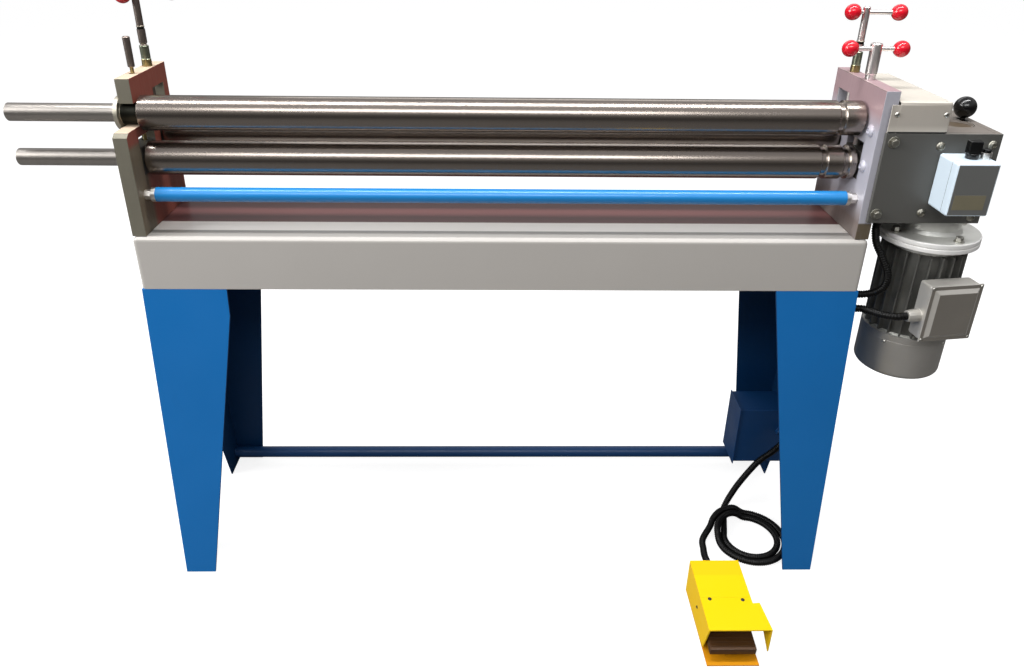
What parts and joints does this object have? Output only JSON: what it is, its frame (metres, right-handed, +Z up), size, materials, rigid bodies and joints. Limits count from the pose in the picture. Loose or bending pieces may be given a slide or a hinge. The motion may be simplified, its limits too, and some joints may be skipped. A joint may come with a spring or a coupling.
{
  "type": "plate rolling machine",
  "caption": "Motor-driven slip roll: rolls between side frames on a folded bed and sheet pedestals, with screws, a gear case, a motor and a foot switch.",
  "frame": {"origin": "on the floor, at the middle of the footprint", "axes": "+Z up, +X along the rolls towards the gear case, +Y away from the operator"},
  "size_m": [1.837, 0.654, 1.1909],
  "materials": {
    "blue_paint": "gloss",
    "pale_paint": "satin",
    "ground_steel": "ground",
    "machined_iron": "machined",
    "bronze": "turned",
    "zinc_plate": "zinc plated",
    "red_ball": "gloss",
    "grey_paint": "satin",
    "silver_paint": "painted",
    "mist_paint": "satin",
    "black_plastic": "satin",
    "yellow_paint": "gloss",
    "black_hose": "matt"
  },
  "bodies": {
    "machine": {"bed": "pale_paint", "electrical_box": "blue_paint", "front_tie_rod": "blue_paint", "gear_back_plate": "grey_paint", "gear_bottom_plate": "grey_paint", "gear_cover": "pale_paint", "gear_front_plate": "grey_paint", "gear_middle_plate": "grey_paint", "gear_outer_plate": "grey_paint", "gear_top_plate": "grey_paint", "left_frame": "machined_iron", "left_pedestal": "blue_paint", "left_rear_nut": "zinc_plate", "left_tie_nut": "bronze", "motor_adapter": "silver_paint", "motor_body": "silver_paint", "motor_end_bell": "silver_paint", "motor_fan_cowl": "silver_paint", "motor_flange": "silver_paint", "motor_hose": "black_hose", "pedal_base": "yellow_paint", "pedal_guard": "yellow_paint", "pedal_hose": "black_hose", "right_frame": "machined_iron", "right_pedestal": "blue_paint", "right_rear_nut": "zinc_plate", "right_tie_nut": "zinc_plate", "stretcher_tube": "blue_paint", "switch_box": "mist_paint", "switch_hose": "black_hose", "terminal_box": "silver_paint", "terminal_lid": "silver_paint"},
    "top_swing": {"top_roll_barrel_bush": "bronze", "top_roll_flanged_bush": "bronze"},
    "top_roll_body": {"top_roll": "ground_steel", "top_gear": "machined_iron"},
    "lower_carriage": {"left_lower_block": "machined_iron", "right_lower_block": "machined_iron"},
    "lower_roll_body": {"lower_roll": "ground_steel", "lower_gear": "machined_iron"},
    "left_front_spindle": {"left_front_screw": "zinc_plate"},
    "right_front_spindle": {"right_front_screw": "zinc_plate"},
    "right_front_bar": {"right_front_handle": "red_ball"},
    "rear_carriage": {"left_rear_block": "machined_iron", "right_rear_block": "machined_iron"},
    "rear_roll_body": {"rear_roll": "ground_steel"},
    "left_rear_spindle": {"left_rear_screw": "zinc_plate"},
    "left_rear_bar": {"left_rear_handle": "red_ball"},
    "right_rear_spindle": {"right_rear_screw": "zinc_plate"},
    "right_rear_bar": {"right_rear_handle": "red_ball"},
    "idler": {"idler_gear": "machined_iron"},
    "gear_shaft": {"drive_shaft": "ground_steel", "worm_wheel": "bronze"},
    "motor_shaft": {"motor_rotor": "ground_steel", "motor_fan": "black_plastic"},
    "ball_lever": {"lever": "black_plastic"},
    "selector": {"selector_knob": "black_plastic"},
    "start_button": {"push_button": "black_plastic"},
    "box_lid": {"electrical_lid": "blue_paint"},
    "treadle": {"pedal_treadle": "black_plastic"}
  },
  "joints": [
    {"name": "top_roll_swing", "type": "hinge", "parent": "machine", "child": "top_swing", "pos_m": [0.6625, 0.067, 0.982], "axis": [0, 0, 1], "range_deg": [0, 3.9]},
    {"name": "top_roll_spin", "type": "hinge", "parent": "top_swing", "child": "top_roll_body", "pos_m": [-0.0155, 0.067, 0.982], "axis": [1, 0, 0], "continuous": true},
    {"name": "lower_roll_lift", "type": "slide", "parent": "machine", "child": "lower_carriage", "axis": [0, 0, 1], "range_m": [0, 0.018]},
    {"name": "lower_roll_spin", "type": "hinge", "parent": "lower_carriage", "child": "lower_roll_body", "pos_m": [-0.0155, 0.067, 0.898], "axis": [1, 0, 0], "continuous": true},
    {"name": "left_front_screw_turn", "type": "hinge", "parent": "lower_carriage", "child": "left_front_spindle", "pos_m": [-0.6935, 0.097, 0.95], "axis": [0, 0, 1], "range_deg": [0, 2160]},
    {"name": "right_front_screw_turn", "type": "hinge", "parent": "lower_carriage", "child": "right_front_spindle", "pos_m": [0.6625, 0.097, 0.95], "axis": [0, 0, 1], "range_deg": [0, 2160]},
    {"name": "right_front_bar_slide", "type": "slide", "parent": "right_front_spindle", "child": "right_front_bar", "axis": [1, 0, 0], "range_m": [-0.02, 0.02]},
    {"name": "rear_roll_lift", "type": "slide", "parent": "machine", "child": "rear_carriage", "axis": [0, 0, 1], "range_m": [0, 0.06]},
    {"name": "rear_roll_spin", "type": "hinge", "parent": "rear_carriage", "child": "rear_roll_body", "pos_m": [-0.0155, 0.167, 0.925], "axis": [1, 0, 0], "continuous": true},
    {"name": "left_rear_screw_turn", "type": "hinge", "parent": "rear_carriage", "child": "left_rear_spindle", "pos_m": [-0.6935, 0.167, 0.95], "axis": [0, 0, 1], "range_deg": [0, 5400]},
    {"name": "right_rear_screw_turn", "type": "hinge", "parent": "rear_carriage", "child": "right_rear_spindle", "pos_m": [0.6625, 0.167, 0.95], "axis": [0, 0, 1], "range_deg": [0, 5400]},
    {"name": "left_rear_bar_slide", "type": "slide", "parent": "left_rear_spindle", "child": "left_rear_bar", "axis": [0.766, 0.6428, 0], "range_m": [-0.044, 0]},
    {"name": "right_rear_bar_slide", "type": "slide", "parent": "right_rear_spindle", "child": "right_rear_bar", "axis": [1, 0, 0], "range_m": [-0.041, 0.003]},
    {"name": "idler_spin", "type": "hinge", "parent": "machine", "child": "idler", "pos_m": [0.7245, 0.133, 0.982], "axis": [1, 0, 0], "continuous": true},
    {"name": "gear_shaft_spin", "type": "hinge", "parent": "machine", "child": "gear_shaft", "pos_m": [0.7845, 0.117, 0.91797], "axis": [1, 0, 0], "continuous": true},
    {"name": "motor_spin", "type": "hinge", "parent": "machine", "child": "motor_shaft", "pos_m": [0.8245, 0.061, 0.6], "axis": [0, 0, 1], "continuous": true},
    {"name": "lever_tilt", "type": "hinge", "parent": "machine", "child": "ball_lever", "pos_m": [0.8515, 0.091, 0.945], "axis": [1, 0, 0], "range_deg": [-14, 14]},
    {"name": "selector_turn", "type": "hinge", "parent": "machine", "child": "selector", "pos_m": [0.804, -0.0476, 0.938], "axis": [0, 0, 1], "range_deg": [-45, 45]},
    {"name": "button_press", "type": "slide", "parent": "machine", "child": "start_button", "axis": [0, 0, -1], "range_m": [0, 0.004], "stiffness_N_per_m": 200, "springref_m": -0.002},
    {"name": "box_lid_swing", "type": "hinge", "parent": "machine", "child": "box_lid", "pos_m": [0.55315, 0.257, 0.24], "axis": [0, 0, -1], "range_deg": [0, 100]},
    {"name": "treadle_press", "type": "hinge", "parent": "machine", "child": "treadle", "pos_m": [0.436, -0.169, 0.042], "axis": [1, 0, 0], "range_deg": [0, 5], "stiffness_Nm_per_rad": 3, "springref_deg": -14.32}
  ],
  "couplings": [
    {"joint": "lower_roll_spin", "follows": "top_roll_spin", "ratio": -1},
    {"joint": "idler_spin", "follows": "top_roll_spin", "ratio": -1},
    {"joint": "gear_shaft_spin", "follows": "top_roll_spin", "ratio": 1},
    {"joint": "motor_spin", "follows": "top_roll_spin", "ratio": 20},
    {"joint": "left_front_screw_turn", "follows": "lower_roll_lift", "rad_per_m": 2094.4},
    {"joint": "right_front_screw_turn", "follows": "lower_roll_lift", "rad_per_m": 2094.4},
    {"joint": "left_rear_screw_turn", "follows": "rear_roll_lift", "rad_per_m": 1570.8},
    {"joint": "right_rear_screw_turn", "follows": "rear_roll_lift", "rad_per_m": 1570.8}
  ]
}
